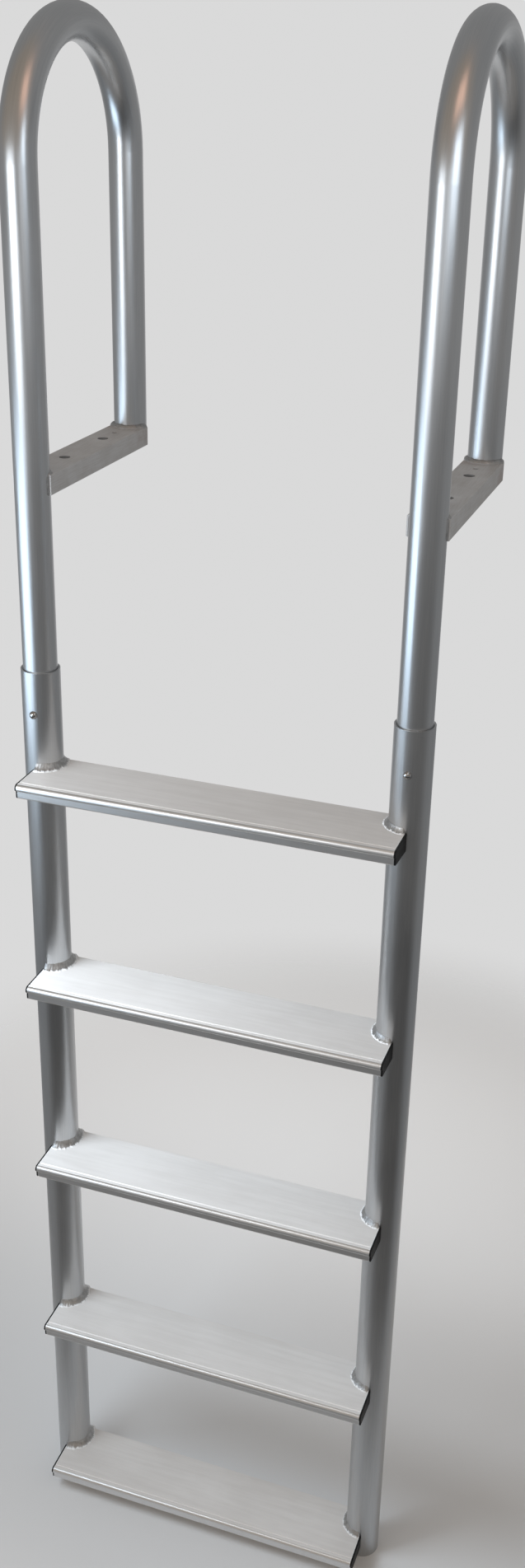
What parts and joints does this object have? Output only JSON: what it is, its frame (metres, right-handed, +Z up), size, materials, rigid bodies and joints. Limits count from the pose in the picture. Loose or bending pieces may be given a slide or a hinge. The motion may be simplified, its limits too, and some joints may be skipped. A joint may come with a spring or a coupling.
{
  "type": "dock ladder",
  "caption": "Aluminium dock ladder: flat hollow treads between two tube rails, with looped handrails that plug in and brackets that bolt to the dock.",
  "frame": {"origin": "underside of the left bracket, midway between its two bolt holes, where it rests on the dock's deck", "axes": "+X from the left rail to the right rail, +Y away from the climber over the dock, +Z up along the rails"},
  "size_m": [0.5458, 0.3952, 2.1689],
  "materials": {
    "rail_tube": "satin drawn tube",
    "handrail_tube": "satin drawn tube",
    "bracket_bar": "dull mill finish",
    "tread_extrusion": "finely brushed along its length",
    "end_cap": "moulded, fine grain",
    "snap_button": "polished"
  },
  "bodies": {
    "frame": {"left_lower_rail": "rail_tube", "right_lower_rail": "rail_tube", "left_handrail": "handrail_tube", "right_handrail": "handrail_tube", "left_mount_bracket": "bracket_bar", "right_mount_bracket": "bracket_bar", "tread_1": "tread_extrusion", "tread_2": "tread_extrusion", "tread_3": "tread_extrusion", "tread_4": "tread_extrusion", "tread_5": "tread_extrusion", "tread_1_left_cap": "end_cap", "tread_1_right_cap": "end_cap", "tread_2_left_cap": "end_cap", "tread_2_right_cap": "end_cap", "tread_3_left_cap": "end_cap", "tread_3_right_cap": "end_cap", "tread_4_left_cap": "end_cap", "tread_4_right_cap": "end_cap", "tread_5_left_cap": "end_cap", "tread_5_right_cap": "end_cap"},
    "left_button": {"left_snap_button": "snap_button"},
    "right_button": {"right_snap_button": "snap_button"}
  },
  "joints": [
    {"name": "left_button_press", "type": "slide", "parent": "frame", "child": "left_button", "axis": [0, 1, 0], "range_m": [0, 0.008], "stiffness_N_per_m": 1500, "springref_m": -0.004},
    {"name": "right_button_press", "type": "slide", "parent": "frame", "child": "right_button", "axis": [0, 1, 0], "range_m": [0, 0.008], "stiffness_N_per_m": 1500, "springref_m": -0.004}
  ]
}
